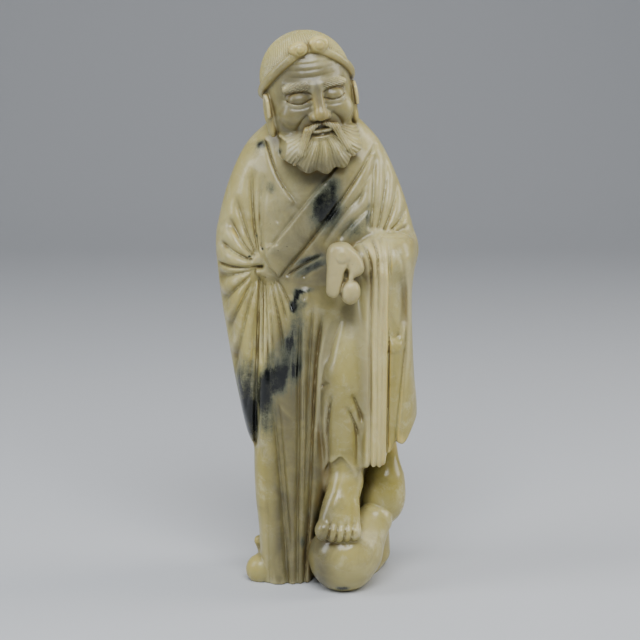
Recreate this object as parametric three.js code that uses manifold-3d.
// A carved soapstone figure of a standing immortal, cut from one block of stone: a bearded man in a
// crossed robe with wide hanging sleeves, one bare foot raised on a double gourd that lies beside him.
// Millimetres, +Z up, the front towards -Y, the origin in the middle of the flat underside.
//
// The stone is described by a field: a function of a point that is negative inside and close to the
// distance in millimetres near the surface. Each form has its own function, the forms are blended, and
// the carving (fold lines, edges of cloth, toes, locks) is added as relief. The surface is then netted.

import * as THREE from 'three';
import { SimplifyModifier } from 'three/addons/modifiers/SimplifyModifier.js';
import { mergeVertices } from 'three/addons/utils/BufferGeometryUtils.js';
import Module from 'manifold-3d';

// Driving dimensions, in millimetres. The pose and the proportions are shares of the height: they are
// written as they measure on a figure of the drawn height, and `scale` brings them to the real one.
const HEIGHT = 230;
const DRAWN_HEIGHT = 230;
const scale = HEIGHT / DRAWN_HEIGHT;

const HEAD_WIDTH = 36.4; // across the combed hair, without the ears
const ROBE_DEPTH = 41.5; // from the front of the skirt to the back of the robe
const GOURD_GIRTH = 29.2; // thickness of the gourd's lower bulb
const FOOT_WIDTH = 17.8; // across the raised foot
const FOLD_DEPTH = 2.3; // a full fold line of the robe
const NARROWEST_FOLD = 1.2; // half width of the finest fold line

// Fineness of the netted surface, and the number of triangles that is left of it
const NET_STEP = 1.05;
const TRIANGLES = 9400;
const STAND_CUT = 3; // stone that reaches below the flat underside before it is cut

// Small tools

const clamp = (v, low, high) => Math.min(Math.max(v, low), high);
const mix = (a, b, t) => a + (b - a) * t;
const ramp = (from, to, v) => {
  const t = clamp((v - from) / (to - from), 0, 1);
  return t * t * (3 - 2 * t);
};

// Joins two forms with a fillet of about `round` millimetres.
const blend = (a, b, round) => {
  const h = Math.max(round - Math.abs(a - b), 0) / round;
  return Math.min(a, b) - (h * h * round) / 4;
};

// The part of form a that lies outside form b, with the same rounding.
const carve = (a, b, round) => -blend(-a, b, round);

// Distance to an ellipsoid with centre c and half-axes r.
const ellipsoid = ([x, y, z], c, r) => {
  const dx = (x - c[0]) / r[0];
  const dy = (y - c[1]) / r[1];
  const dz = (z - c[2]) / r[2];
  const k0 = Math.hypot(dx, dy, dz);
  const k1 = Math.hypot(dx / r[0], dy / r[1], dz / r[2]);
  return k1 < 1e-9 ? -Math.min(...r) : (k0 * (k0 - 1)) / k1;
};

// Distance to a limb from a to b, with radius ra at a and rb at b.
const limb = ([x, y, z], a, b, ra, rb) => {
  const ex = b[0] - a[0];
  const ey = b[1] - a[1];
  const ez = b[2] - a[2];
  const along = (x - a[0]) * ex + (y - a[1]) * ey + (z - a[2]) * ez;
  const t = clamp(along / (ex * ex + ey * ey + ez * ez), 0, 1);
  return Math.hypot(x - a[0] - ex * t, y - a[1] - ey * t, z - a[2] - ez * t) - mix(ra, rb, t);
};

// A stack of rounded sections. Each row is [level, left, right, front, back], and the edges run
// smoothly from row to row. A squareness of 2 gives ellipses, and more gives fuller corners.
const stack = (rows, squareness, endRound) => {
  const slopes = rows.map((row, i) => {
    const before = rows[Math.max(i - 1, 0)];
    const after = rows[Math.min(i + 1, rows.length - 1)];
    return row.map((v, k) => (after[k] - before[k]) / (after[0] - before[0]));
  });
  const low = rows[0][0];
  const high = rows[rows.length - 1][0];
  return ([x, y, z]) => {
    const level = clamp(z, low, high);
    let i = 0;
    while (i < rows.length - 2 && level > rows[i + 1][0]) i++;
    const span = rows[i + 1][0] - rows[i][0];
    const t = (level - rows[i][0]) / span;
    const [t2, t3] = [t * t, t * t * t];
    const edge = (k) => (2 * t3 - 3 * t2 + 1) * rows[i][k] + (t3 - 2 * t2 + t) * span * slopes[i][k]
      + (3 * t2 - 2 * t3) * rows[i + 1][k] + (t3 - t2) * span * slopes[i + 1][k];
    const [left, right, front, back] = [edge(1), edge(2), edge(3), edge(4)];
    const a = (right - left) / 2;
    const b = (back - front) / 2;
    const u = Math.abs(x - (left + right) / 2) / a;
    const v = Math.abs(y - (front + back) / 2) / b;
    const q = (u ** squareness + v ** squareness) ** (1 / squareness);
    const steep = Math.hypot(u ** (squareness - 1) / a, v ** (squareness - 1) / b)
      * Math.max(q, 0.2) ** (1 - squareness);
    const side = q < 0.35 ? (q - 1) * Math.min(a, b) : (q - 1) / steep;
    return carve(side, -Math.max(z - high, low - z), endRound);
  };
};

// A frame of its own for a form: turns a point of the figure into the form's own axes.
const placed = (origin, degrees) => {
  const turn = new THREE.Euler(...degrees.map(THREE.MathUtils.degToRad), 'ZYX');
  const e = new THREE.Matrix4().makeRotationFromEuler(turn).elements;
  return ([x, y, z]) => {
    const [dx, dy, dz] = [x - origin[0], y - origin[1], z - origin[2]];
    return [0, 4, 8].map((column) => e[column] * dx + e[column + 1] * dy + e[column + 2] * dz);
  };
};

// Lines of carving are drawn in the front view, as points [x, z].
const LINE_STEPS = 7;

// A line from a to b that bows sideways by `bow`
const bowed = (a, b, bow) => {
  const [ex, ez] = [b[0] - a[0], b[1] - a[1]];
  const length = Math.hypot(ex, ez);
  return Array.from({ length: LINE_STEPS + 1 }, (_, i) => {
    const t = i / LINE_STEPS;
    const side = 4 * t * (1 - t) * bow;
    return [a[0] + ex * t - (ez / length) * side, a[1] + ez * t + (ex / length) * side];
  });
};

// A smooth line through the points
const through = (points) => {
  const curve = new THREE.CatmullRomCurve3(points.map(([x, z]) => new THREE.Vector3(x, 0, z)));
  return curve.getPoints(4 * (points.length - 1)).map((v) => [v.x, v.z]);
};

// The box of a line in the front view, with some room round it
const reachOf = (points, room) => {
  const [xs, zs] = [points.map((v) => v[0]), points.map((v) => v[1])];
  const [left, right] = [Math.min(...xs) - room, Math.max(...xs) + room];
  const [down, up] = [Math.min(...zs) - room, Math.max(...zs) + room];
  return (x, z) => x > left && x < right && z > down && z < up;
};

// The reading of a line at a point: the signed distance to it, and the share of its length so far
const readingOf = (points) => {
  const parts = points.slice(1).map(([x, z], i) => [x - points[i][0], z - points[i][1]]);
  const lengths = parts.map((part) => Math.hypot(...part));
  const whole = lengths.reduce((a, b) => a + b);
  return (x, z) => {
    let best = Infinity;
    let sign = 1;
    let along = 0;
    let start = 0;
    parts.forEach(([qx, qz], i) => {
      const [px, pz] = points[i];
      const t = clamp(((x - px) * qx + (z - pz) * qz) / (lengths[i] * lengths[i]), 0, 1);
      const [dx, dz] = [x - px - qx * t, z - pz - qz * t];
      const d = Math.hypot(dx, dz);
      if (d < best) {
        best = d;
        sign = Math.sign(qx * dz - qz * dx) || 1;
        along = (start + t * lengths[i]) / whole;
      }
      start += lengths[i];
    });
    return [best * sign, along];
  };
};

// A groove with a narrow bottom and round shoulders, which fades out over its ends. It is `flare` times
// as wide at its end as at its start.
const groove = (points, { depth = 1, width = 1, fadeIn = 0.15, fadeOut = 0.15, flare = 1 }) => {
  const half = Math.max(width, NARROWEST_FOLD);
  const near = reachOf(points, 3.2 * half * Math.max(flare, 1));
  const reading = readingOf(points);
  return (x, z) => {
    if (!near(x, z)) return 0;
    const [d, t] = reading(x, z);
    const ends = ramp(-0.001, fadeIn, t) * ramp(-0.001, fadeOut, 1 - t);
    return -depth * FOLD_DEPTH * ends * Math.exp(-((Math.abs(d) / (half * mix(1, flare, t))) ** 1.4));
  };
};

// A fold line from a to b, and one through several points
const crease = (a, b, { bow = 0, ...shape }) => groove(bowed(a, b, bow), shape);
const fold = (points, shape) => groove(through(points), shape);

// A smooth oval hollow; a depth below 0 makes a bump
const dip = (centre, half, depth) => (x, z) =>
  -depth * ramp(1.25, 0.6, Math.hypot((x - centre[0]) / half[0], (z - centre[1]) / half[1]));

// An edge of cloth that lies on other cloth: it steps up on one side of the line and levels out again
const overlap = (points, { rise = 1, run = 9 }) => {
  const path = through(points);
  const near = reachOf(path, run);
  const reading = readingOf(path);
  return (x, z) => {
    if (!near(x, z)) return 0;
    const [d, t] = reading(x, z);
    if (d < -1 || d > run) return 0;
    return rise * ramp(0, 0.08, t) * ramp(0, 0.08, 1 - t) * ramp(-0.8, 0.8, d) * (1 - ramp(0.8, run, d));
  };
};

// The robe

const robeFront = -21.5;
const robeBack = robeFront + ROBE_DEPTH / scale;

const torso = stack([
  [122, -31, 33, -18, robeBack - 1],
  [132, -39, 37.5, -20, robeBack],
  [143, -42, 40.2, robeFront, robeBack + 0.5],
  [157, -40.2, 37.2, robeFront + 0.5, robeBack + 0.5],
  [173, -35.1, 31.4, -18, robeBack - 1],
  [185, -28.6, 25.2, -12.5, robeBack - 4],
  [193, -20, 18, -8, robeBack - 8],
  [199, -12, 11, -5, robeBack - 11],
], 2.3, 3);

const skirtBack = stack([
  [-STAND_CUT, -24, 31.4, -9, robeBack + 1],
  [14, -24.6, 30.8, -9, robeBack + 0.5],
  [30, -25.8, 29.5, -10, robeBack],
  [60, -26.8, 29, -10, robeBack],
  [100, -26, 30, -11, robeBack],
  [128, -28, 32, -12, robeBack],
], 2.5, 1);

// The pleated front panel of the skirt. Its right edge bounds the hollow that the raised leg stands in.
const skirtFront = stack([
  [-STAND_CUT, -24, -2.2, robeFront + 2, 8],
  [12, -24.4, -1.8, robeFront + 1.4, 8],
  [26, -25.3, -0.5, robeFront + 0.8, 8],
  [36, -26.3, 3.2, robeFront + 0.4, 8],
  [48, -26.8, 5.4, robeFront + 0.2, 8],
  [62, -26.8, 2.6, robeFront, 8],
  [80, -26.6, 2.2, robeFront, 8],
  [104, -26.3, 5.4, robeFront, 8],
  [120, -26, 9.9, robeFront + 0.5, 8],
  [133, -26, 12, robeFront + 3, 8],
], 3.4, 1);

const farSleeve = stack([
  [58, -28, -22, -9, 2],
  [64, -30, -20, -14, 7],
  [75, -32.6, -19, -16.5, 11],
  [90, -35.5, -18, -18, 14],
  [110, -38.8, -17, -19, 16],
  [125, -40.9, -17, -19.5, 17],
  [140, -42, -17, -18.5, 17],
  [150, -41, -18, -16, 16],
], 2.2, 2);

const nearSleeve = stack([
  [50, 15, 40.6, -27.5, 10],
  [75, 15.8, 41.2, -28.5, 11],
  [90, 16.4, 39.9, -29, 12],
  [110, 16.4, 38.9, -29.5, 12],
  [125, 16.6, 38.8, -30, 13],
  [140, 17, 40.2, -29.5, 14],
  [148, 19, 39.5, -24, 13],
], 2.4, 4);

// The hem of the near sleeve: it hangs lowest under the hand and rises towards the back.
const nearHem = (x) => 53.6 + 9.4 * ramp(21.5, 30, x) + 7 * ramp(36, 42, x);

const forearm = (p) => limb(p, [32.4, -4, 140.6], [18.6, -24, 140], 7.6, 6.2);

// The raised leg, its cloth down to the pointed hem, and the foot

const legStack = stack([
  [46, 3.2, 16.8, -23.5, -8],
  [58, 2.4, 17.8, -25, -8],
  [70, 1.2, 18.8, -26.8, -8],
  [80, 0.6, 19.4, -28.4, -8],
  [88, 1, 19.6, -29.2, -8],
  [96, 2.4, 19.4, -28, -8],
  [106, 4.5, 18.8, -24.8, -8],
  [115, 6.5, 18, -21, -8],
  [124, 8.4, 17, -16.5, -8],
], 2.2, 1);
const HEM_PEAK = [9.3, 58.5];
const legCloth = (p) => {
  const hem = HEM_PEAK[1] - 1.1 * Math.sqrt((p[0] - HEM_PEAK[0]) ** 2 + 0.4);
  return carve(legStack(p), p[2] - hem, 0.8);
};

const inFoot = placed([9, -25.5, 34.2], [-34, 8, 4]);
const footHalf = FOOT_WIDTH / scale / 2;
const footShape = stack([
  [-11, -footHalf * 0.9, footHalf * 0.98, -2.6, 3.4],
  [-9, -footHalf * 0.96, footHalf * 1.04, -3.8, 4.4],
  [-4, -footHalf * 0.95, footHalf * 0.99, -5.8, 6],
  [4, -footHalf * 0.82, footHalf * 0.88, -7.2, 8],
  [12, -footHalf * 0.6, footHalf * 0.76, -7.4, 9],
], 2.4, 2.5);
// Toes from the big one: place across the foot, place along it, half width, half length
const TOES = [[-6.4, -9.6, 3.4, 4.2], [-2.5, -10.2, 2.6, 4], [0.7, -10.2, 2.6, 3.8], [3.8, -9.9, 2.5, 3.5],
  [6.7, -9.2, 2.5, 3.3]];
const TOE_GROOVES = [[-4.1, 1.5], [-0.9, 1.3], [2.3, 1.2], [5.3, 1.1]]; // place across the foot, depth
const raisedFoot = (p) => {
  const q = inFoot(p);
  let foot = footShape(q);
  for (const [x, z, half, length] of TOES) {
    foot = blend(foot, ellipsoid(q, [x, -0.9, z], [half, 4.2, length]), 0.8);
  }
  const within = ramp(-4.5, -8, q[2]) * ramp(2, -1, q[1]);
  for (const [x, depth] of TOE_GROOVES) {
    foot += within * depth * Math.exp(-((Math.abs(q[0] - x - 0.05 * (q[2] + 10)) / 0.6) ** 1.3));
  }
  const ankle = limb(p, [10.8, -15.5, 64], [11.8, -18.5, 45], 6.6, 6.8);
  return blend(foot, ankle, 4);
};

const standingFoot = (p) => {
  const sole = limb(p, [-18, -6, 5.5], [-24.2, -11.5, 4.6], 8, 6.4);
  const ankle = limb(p, [-21, -2, 9], [-25, -5, 15], 4.4, 2.3);
  return blend(sole, ankle, 2);
};

// The double gourd: a big bulb in front, lying tilted, and a small one that rises beside the leg

const bulb = GOURD_GIRTH / scale / 2;
const GOURD_AT = [10.6, -20.6, bulb - 1.6];
const gourd = (p) => {
  const body = ellipsoid(p, GOURD_AT, [bulb, bulb + 0.4, bulb]);
  const lower = blend(body, limb(p, [16.4, -18, 18], [23.6, -13, 26.6], 11.4, 7.6), 5);
  const upper = blend(
    ellipsoid(p, [27.6, -6.4, 36], [9.5, 10, 13.2]),
    limb(p, [28.2, -5, 45], [28.6, -2.5, 64], 7, 3.6),
    5,
  );
  return blend(lower, upper, 2);
};

// The hand: its back on top, one finger pointing down, and the closed fingers as a knob beside it

const hand = (p) => {
  const back = ellipsoid(p, [10.2, -30.5, 141.4], [6.8, 6, 7]);
  const upperThumb = limb(p, [14.4, -31.6, 141.5], [15.1, -32.4, 137.2], 3.5, 3.4);
  const thumb = blend(upperThumb, limb(p, [15.1, -32.6, 136.8], [12.4, -33.8, 133.6], 2.6, 1.7), 1);
  const finger = limb(p, [8.4, -32.4, 141], [6.1, -34.4, 128.4], 4.3, 3);
  const knob = ellipsoid(p, [12.9, -33, 127.6], [4.1, 4.4, 5.2]);
  const closed = blend(blend(blend(back, thumb, 1.4), finger, 1.4), knob, 1);
  return carve(closed, ellipsoid(p, [11.3, -38, 134.4], [1.1, 6, 2.4]), 1);
};

// The head, in its own axes: X to the viewer's right, Y back, Z up, leaning and turned a little

const HEAD_AT = [-4.2, -9, 207];
const HEAD_TURN = [5, -8, 12];
const inHead = placed(HEAD_AT, HEAD_TURN);
const skull = HEAD_WIDTH / scale / 2;

const face = (q) => {
  const head = ellipsoid(q, [0, 1.5, 4], [skull - 1, 19, 18.6]);
  const jaw = ellipsoid(q, [0, -2.6, -9.5], [skull - 2, 15.6, 17]);
  const side = [Math.abs(q[0]), q[1], q[2]];
  let d = blend(head, jaw, 7);
  d = carve(d, ellipsoid(side, [7.2, -21, -0.8], [5.6, 4, 3.2]), 3);
  d = blend(d, ellipsoid(side, [7.1, -14.9, -1.4], [4.2, 3.2, 2.8]), 0.8);
  d = blend(d, limb(side, [3, -17.3, 3.6], [12, -14.2, 3.2], 1.5, 1.1), 2.2);
  d = blend(d, ellipsoid(side, [9.4, -13.4, -7.6], [5.4, 4.4, 4.8]), 3);
  d = blend(d, limb(q, [0, -17.4, 3], [0, -21.2, -8], 1.7, 2.7), 2.2);
  d = blend(d, ellipsoid(side, [2.9, -18.4, -8.8], [2, 2.2, 1.8]), 1.2);
  d = blend(d, ellipsoid(q, [0, -12.4, -16.4], [8, 6, 5]), 1);
  d = blend(d, ellipsoid(q, [0, -17.6, -16.6], [4.6, 2.4, 1.5]), 1);
  return d;
};

const ears = (q) => {
  const side = [Math.abs(q[0]), q[1], q[2]];
  const shell = ellipsoid(side, [skull - 0.8, -1.5, -8], [2.6, 4.6, 9]);
  return carve(shell, ellipsoid(side, [skull + 1.6, -3.6, -6.5], [1.8, 2.6, 5]), 1);
};

const moustache = (q) => {
  const side = [Math.abs(q[0]), q[1], q[2]];
  const lip = limb(side, [0.8, -19.4, -12.6], [6, -18.6, -14.4], 1.7, 1.7);
  const fall = limb(side, [6, -18.6, -14.4], [9.6, -18, -22.5], 1.7, 1.7);
  const tip = limb(side, [9.6, -18, -22.5], [14, -15.4, -28], 1.7, 1.1);
  return blend(blend(lip, fall, 1.2), tip, 1.2);
};

// The beard runs from ear to ear under the jaw, in locks that spread from the mouth to a jagged fringe
const LOCKS = 15;
const BEARD_REACH = 20.3;
const beard = (q) => {
  const [x, z] = [q[0], q[2] + 11];
  const comb = Math.cos(Math.atan2(x, -z) * LOCKS);
  const bowl = ellipsoid(q, [0, -7, -24], [19.2, 14, 14]);
  const locks = 0.55 * comb * ramp(-15, -22, q[2]) * ramp(0, -6, q[1]);
  return carve(bowl - locks, BEARD_REACH + 0.8 * comb - Math.hypot(x, z), 0.8);
};

// The band round the brow: it rises from the ears to a peak over the forehead and meets in two curls
const BAND_BACK = -4;
const BAND_PEAK = 17.5;
const BAND_STEPS = 40;
const cap = { at: [0, 2.2, 4.2], half: [skull, 20.2, 18.8] };
const bandLevel = (turn) => mix(BAND_BACK, BAND_PEAK, ((1 + Math.cos(turn)) / 2) ** 2);
const bandPath = Array.from({ length: BAND_STEPS + 1 }, (_, i) => {
  const turn = (i / BAND_STEPS) * 2 * Math.PI;
  const z = bandLevel(turn);
  const girth = Math.sqrt(1 - ((z - cap.at[2]) / cap.half[2]) ** 2);
  return [cap.half[0] * girth * Math.sin(turn), cap.at[1] - cap.half[1] * girth * Math.cos(turn), z];
});
const band = (q) => {
  let ring = Infinity;
  for (let i = 0; i < BAND_STEPS; i++) {
    ring = Math.min(ring, limb(q, bandPath[i], bandPath[i + 1], 2, 2));
  }
  const leftCurl = ellipsoid(q, [-4.4, -13.4, 18.2], [4, 3.2, 3]);
  const rightCurl = ellipsoid(q, [3.8, -13, 19], [4.4, 3.4, 3.4]);
  return blend(ring, Math.min(leftCurl, rightCurl), 1.2);
};

const hair = (q) => {
  const turn = Math.atan2(q[0], cap.at[1] - q[1]);
  const nape = ellipsoid(q, [0, 6.5, -7], [skull - 1.5, 14, 16]);
  const hairline = bandLevel(turn) - 14 * ramp(1.5, 2.1, Math.abs(turn));
  return carve(blend(ellipsoid(q, cap.at, cap.half), nape, 4), q[2] - hairline, 0.5);
};

const head = (p) => {
  const q = inHead(p);
  if (Math.hypot(...q) > 48) return 12;
  let d = blend(face(q), ears(q), 1.2);
  d = Math.min(d, hair(q));
  d = blend(d, band(q), 0.5);
  d = blend(d, beard(q), 1.2);
  return blend(d, moustache(q), 0.5);
};

const neck = (p) => limb(p, [-2, 1, 176], [-3, -3, 198], 17, 12.5);

// Relief of the cloth: fold lines gather at the waist, where the far sleeve is drawn in

const PINCH = [-23.2, 137];

// Folds from the shoulder and the chest down to the pinch: top, low end, bow and depth of each
const chestFolds = [
  [[-26.4, 178], [-23.8, 138.6], -1.3, 1],
  [[-21.7, 174], [-22.6, 140.4], -1.3, 0.95],
  [[-34.8, 161], [-24.9, 139.2], -1, 1],
  [[-40.5, 145.5], [-26, 137.4], -0.8, 1.1],
].map(([top, low, bow, depth]) =>
  crease(top, low, { bow, depth, width: 2.3, flare: 0.7, fadeIn: 0.3, fadeOut: 0.06 }));

// Folds of the far sleeve that fan out from the pinch: outer end and bow of each
const sleeveFolds = [
  [[-42, 128.4], -0.9],
  [[-41, 115], -1.6],
  [[-38.6, 101], -1],
  [[-34.8, 88], -0.5],
].map(([end, bow], i) => crease([PINCH[0] - 1.6, PINCH[1] - 3.6 - 0.5 * i], end,
  { bow, depth: 1.3, width: 1.5, flare: 1.6, fadeIn: 0.1, fadeOut: 0.2 }));
sleeveFolds.push(
  crease([-25.4, 122], [-30.2, 72], { bow: 0.8, depth: 0.7, flare: 1.8, fadeIn: 0.3 }),
  fold([[-23.6, 136], [-24.6, 112], [-25.4, 90], [-26.2, 57]], { depth: 1.2, width: 1.1, fadeOut: 0.04 }),
  crease([-44, 136], [-20.8, 134.8], { bow: -0.6, depth: 0.9, fadeIn: 0.3, fadeOut: 0.1 }),
);

// Folds of the skirt that fan out from the pinch: upper and lower end, bow and depth of each
const skirtFolds = [
  [[-21, 133.4], [-19.8, 86], 0.4, 0.8],
  [[-20, 133], [-15.2, 84], 0.9, 0.85],
  [[-18.8, 132.4], [-11.6, 104], 0.8, 0.8],
].map(([top, low, bow, depth]) => crease(top, low, { bow, depth, width: 1.1, fadeIn: 0.08, fadeOut: 0.3 }));
// Long folds that fall to the hem
skirtFolds.push(
  fold([[-19.8, 96], [-17.4, 66], [-14.6, 32], [-12.6, -6]],
    { depth: 1.1, width: 1.4, fadeIn: 0.3, fadeOut: 0 }),
  fold([[-5.4, 121], [-6.8, 92], [-7.6, 60], [-8.2, 30], [-8.8, -6]], { depth: 0.95, fadeOut: 0 }),
  fold([[-1.6, 124], [-3.6, 96], [-4.8, 64], [-6, 28]], { depth: 0.5, fadeOut: 0.3 }),
  fold([[3.2, 119], [0.6, 92], [-1.8, 64], [-3.6, 32], [-6.2, -6]], { depth: 1.2, fadeOut: 0 }),
  crease([-21.6, 60], [-20.4, -6], { bow: 0.3, depth: 0.45, width: 1.4, fadeIn: 0.3, fadeOut: 0 }),
);

// Folds that hang over the forearm and fall as a strip of pleats: top, over the arm, x below, depth
const nearSleeveLines = [
  [[16.6, 147.4], [20, 141.4], 20.8, 1],
  [[20.8, 149.2], [23.4, 142.4], 24.1, 0.9],
].map(([top, over, low, depth]) => fold([top, over, [low + 0.2, 132], [low, 100], [low + 0.2, 54]],
  { depth, fadeIn: 0.06, fadeOut: 0.02 }));
nearSleeveLines.push(
  overlap([[26.6, 50], [26.9, 90], [26.9, 126], [26.8, 140]], { rise: 1.9, run: 9 }),
  fold([[27.2, 149], [28.4, 140], [27.8, 128], [27.6, 90], [27.4, 50]], { depth: 0.9, fadeOut: 0.03 }),
  fold([[30, 148], [33.4, 138], [34.6, 124], [34, 110]], { depth: 0.7, fadeIn: 0.2 }),
  dip([31, 121], [3.3, 15], 2.6),
  dip([31, 103.6], [3, 2.6], -0.4),
  fold([[36.2, 126], [35.6, 108], [33.6, 86], [31, 54]],
    { depth: 0.75, width: 1.1, fadeIn: 0.4, fadeOut: 0.02 }),
);

// Folds from the near shoulder to the crook of the arm, and the creases of the elbow
const shoulderFolds = [
  crease([23, 182], [21.4, 150], { bow: 0.2, depth: 1.05, width: 1.7, flare: 0.6, fadeOut: 0.04 }),
  crease([28.5, 184], [24, 149.6], { bow: 0.9, depth: 1.05, width: 1.8, flare: 0.6, fadeOut: 0.04 }),
  crease([33.4, 171], [26.4, 149.2], { bow: 0.8, depth: 0.95, width: 1.6, flare: 0.6, fadeOut: 0.04 }),
  crease([37.6, 160], [29.4, 149.4], { bow: 0.9, depth: 0.8, width: 1.3, flare: 0.7, fadeOut: 0.06 }),
  crease([25.4, 148], [37.4, 151.8], { bow: -1.4, depth: 0.5, width: 1.1, fadeOut: 0.3 }),
  crease([29, 146.8], [41, 143.4], { bow: 0.6, depth: 0.9, fadeOut: 0 }),
  crease([22, 168], [1, 142], { bow: -2, depth: 0.6, fadeIn: 0.3, fadeOut: 0.3 }),
  crease([21.5, 160], [8, 146.1], { bow: -0.6, depth: 0.6 }),
  crease([24.6, 178], [14, 156], { bow: -0.6, depth: 0.5, width: 1.1, fadeIn: 0.3, fadeOut: 0.3 }),
];

// The crossed collar: the near lapel lies over the far one and runs down to the waist
const lapels = [
  overlap([[16.2, 185], [7.2, 175], [-2.4, 163.8], [-12, 152], [-20.6, 141.6]], { rise: 1.9, run: 12 }),
  crease([24.8, 186], [-15.6, 131], { bow: 1.5, depth: 0.85, fadeIn: 0.05, fadeOut: 0.03 }),
  overlap([[-8.6, 160.8], [-16.6, 172.6], [-22, 187]], { rise: 1.5, run: 8 }),
  overlap([[-21.8, 145], [-20.6, 137.4], [-15.4, 130.6]], { rise: 2, run: 8 }),
];
const sash = [
  fold([[-21.6, 140], [-20.4, 135], [-14.6, 130.4], [-6, 128], [6, 127.4]],
    { depth: 0.9, fadeIn: 0.05, fadeOut: 0.05 }),
  crease([2.5, 141], [-13.6, 130.9], { bow: -0.3, depth: 0.75 }),
  dip([-5.4, 123.4], [2.2, 3.3], -0.8),
];

const hollowUnderHand = (p) => limb(p, [11.6, -25, 126], [11, -27, 106], 4.6, 3.4);

const frontLines = [
  ...chestFolds, ...sleeveFolds, ...skirtFolds, ...shoulderFolds, ...lapels, ...sash,
];
const legLines = [
  fold([[6.4, 87], [5.2, 80], [4.2, 68], [4.6, 50]], { depth: 0.8, fadeIn: 0.25, fadeOut: 0 }),
  fold([[11.4, 82], [14.2, 74], [16, 66], [16.2, 53]], { depth: 0.8, fadeIn: 0.2, fadeOut: 0.02 }),
  fold([[8.4, 117], [5, 106], [2, 94]], { depth: 0.8, width: 1.2, fadeIn: 0.1, fadeOut: 0.3 }),
];

// The back is plain: long folds fall from the shoulders and fan out below the waist
const BACK_FOLDS = 7;
const backLines = Array.from({ length: BACK_FOLDS }, (_, i) => {
  const t = (i + 0.5) / BACK_FOLDS - 0.5;
  return [
    crease([t * 40, 178 - 30 * Math.abs(t)], [t * 52, 140], { bow: 2 * t, depth: 0.8, width: 2.2 }),
    crease([t * 48, 132], [t * 58 + 2, -6], { bow: -3 * t, depth: 1, width: 2.4, fadeOut: 0 }),
  ];
}).flat();

const sum = (lines, x, z) => lines.reduce((total, f) => total + f(x, z), 0);

const RELIEF_REACH = 3.5;
const relieved = (d, lines, [x, , z], share) =>
  (Math.abs(d) > RELIEF_REACH || share <= 0 ? d : d - share * sum(lines, x, z));

const stone = (p) => {
  const [x, y, z] = p;
  let robe = blend(torso(p), skirtBack(p), 5);
  robe = blend(robe, skirtFront(p), 2);
  robe = blend(robe, farSleeve(p), 2.2);
  robe = blend(robe, neck(p), 7);
  robe = carve(robe, hollowUnderHand(p), 2);
  robe = relieved(robe, frontLines, p, ramp(-2, -9, y));
  robe = relieved(robe, backLines, p, ramp(3, 10, y));

  const cloth = carve(nearSleeve(p), z - nearHem(x), 1);
  const sleeve = relieved(blend(cloth, forearm(p), 6), nearSleeveLines, p, ramp(4, -6, y));
  const leg = relieved(legCloth(p), legLines, p, ramp(-12, -16, y));

  let d = blend(robe, sleeve, 1.6);
  d = blend(d, leg, mix(2.6, 6, ramp(54, 98, z)));
  d = blend(d, raisedFoot(p), mix(1, 4, ramp(36, 46, z)));
  d = blend(d, gourd(p), 0.8);
  d = blend(d, standingFoot(p), 0.8);
  d = blend(d, hand(p), 0.8);
  return blend(d, head(p), 1.6);
};

// Nets the surface where the field changes sign. Each cell of a grid is split into six tetrahedra round
// its long diagonal, and the surface crosses a tetrahedron in one or two triangles, so it always closes.
// A corner of a cell is numbered by its bits: 1 for x, 2 for y, 4 for z.
const TETRAHEDRA = [[0, 1, 3, 7], [0, 2, 6, 7], [0, 4, 5, 7], [0, 5, 1, 7], [0, 3, 2, 7], [0, 6, 4, 7]];
// The corners in an even order that puts the inside ones first, by which of the four are inside
const INSIDE_FIRST = {
  1: [0, 1, 2, 3], 2: [1, 0, 3, 2], 4: [2, 3, 0, 1], 8: [3, 2, 1, 0],
  3: [0, 1, 2, 3], 12: [2, 3, 0, 1], 5: [0, 2, 3, 1], 10: [1, 3, 2, 0], 9: [0, 3, 1, 2], 6: [1, 2, 0, 3],
};
const NEAREST_CUT = 0.08; // share of a grid edge that is kept free at its ends

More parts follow.
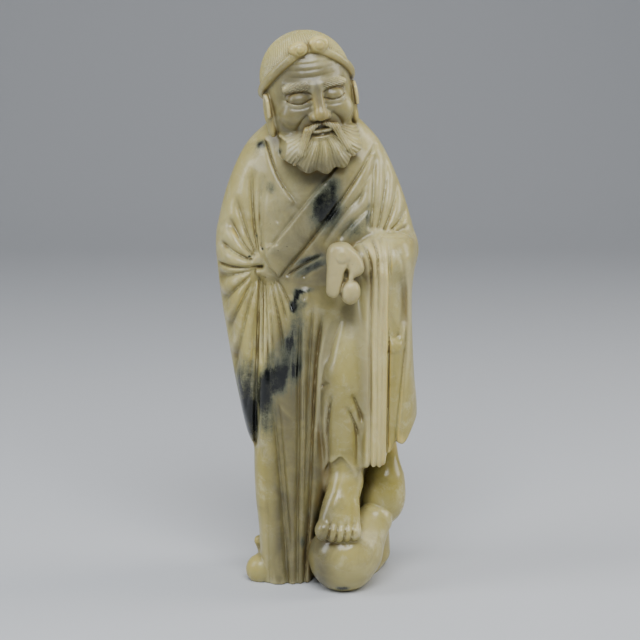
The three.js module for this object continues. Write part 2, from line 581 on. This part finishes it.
const netted = (field, low, high, step) => {
  const [nx, ny, nz] = low.map((v, k) => Math.ceil((high[k] - v) / step) + 1);
  const at = (i, j, k) => (k * ny + j) * nx + i;
  const values = new Float32Array(nx * ny * nz);
  for (let k = 0; k < nz; k++) {
    for (let j = 0; j < ny; j++) {
      for (let i = 0; i < nx; i++) {
        values[at(i, j, k)] = field([low[0] + i * step, low[1] + j * step, low[2] + k * step]);
      }
    }
  }
  const corners = [0, 1, 2, 3, 4, 5, 6, 7].map((c) => [c & 1, (c >> 1) & 1, c >> 2]);
  const strides = corners.map(([i, j, k]) => at(i, j, k));
  const positions = [];
  const points = new Map();
  const pointBetween = (cell, base, m, n) => {
    const [lower, upper] = [Math.min(m, n), Math.max(m, n)];
    const key = (base + strides[lower]) * 8 + upper - lower;
    if (!points.has(key)) {
      const [from, to] = [values[base + strides[lower]], values[base + strides[upper]]];
      const t = clamp(from / (from - to), NEAREST_CUT, 1 - NEAREST_CUT);
      points.set(key, positions.length / 3);
      positions.push(...cell.map((v, axis) =>
        low[axis] + (v + mix(corners[lower][axis], corners[upper][axis], t)) * step));
    }
    return points.get(key);
  };
  const index = [];
  for (let k = 0; k < nz - 1; k++) {
    for (let j = 0; j < ny - 1; j++) {
      for (let i = 0; i < nx - 1; i++) {
        const base = at(i, j, k);
        const inside = strides.filter((stride) => values[base + stride] < 0).length;
        if (inside === 0 || inside === 8) continue;
        for (const four of TETRAHEDRA) {
          const mask = four.reduce((bits, c, n) => bits | (values[base + strides[c]] < 0 ? 1 << n : 0), 0);
          if (mask === 0 || mask === 15) continue;
          const within = [1, 2, 4, 8].filter((bit) => mask & bit).length;
          const [a, b, c, d] = INSIDE_FIRST[within === 3 ? 15 - mask : mask].map((n) => four[n]);
          const between = (m, n) => pointBetween([i, j, k], base, m, n);
          if (within === 2) {
            const quad = [between(a, c), between(a, d), between(b, d), between(b, c)];
            index.push(quad[0], quad[1], quad[2], quad[0], quad[2], quad[3]);
          } else {
            const corner = [between(a, b), between(a, c), between(a, d)];
            index.push(...(within === 1 ? corner : corner.reverse()));
          }
        }
      }
    }
  }
  const geometry = new THREE.BufferGeometry();
  geometry.setAttribute('position', new THREE.Float32BufferAttribute(positions, 3));
  geometry.setIndex(index);
  return geometry;
};

const wasm = await Module();
wasm.setup();
const solidOf = (geometry) => new wasm.Manifold(new wasm.Mesh({
  numProp: 3,
  vertProperties: new Float32Array(geometry.attributes.position.array),
  triVerts: new Uint32Array(geometry.index.array),
}));

const fine = netted(stone, [-46, -46, -STAND_CUT - 2], [46, 30, 236], NET_STEP);
const spare = Math.round(fine.attributes.position.count - TRIANGLES / 2);
const simple = await new SimplifyModifier().modify(fine, spare);
simple.scale(scale, scale, scale);

const table = new THREE.BoxGeometry(120 * scale, 120 * scale, 20 * scale).translate(0, 0, -10 * scale);
table.deleteAttribute('normal');
table.deleteAttribute('uv');
const cut = solidOf(simple).subtract(solidOf(mergeVertices(table)));
const { vertProperties, triVerts } = cut.getMesh();
const geometry = new THREE.BufferGeometry();
geometry.setAttribute('position', new THREE.BufferAttribute(vertProperties, 3));
geometry.setIndex(new THREE.BufferAttribute(triVerts, 1));

const soapstone = new THREE.MeshStandardMaterial({ color: 0xcdc08a, roughness: 0.35, metalness: 0 });
const figure = new THREE.Mesh(geometry, soapstone);
figure.name = 'immortal_figure';

const part = new THREE.Group();
part.add(figure);
export default part;
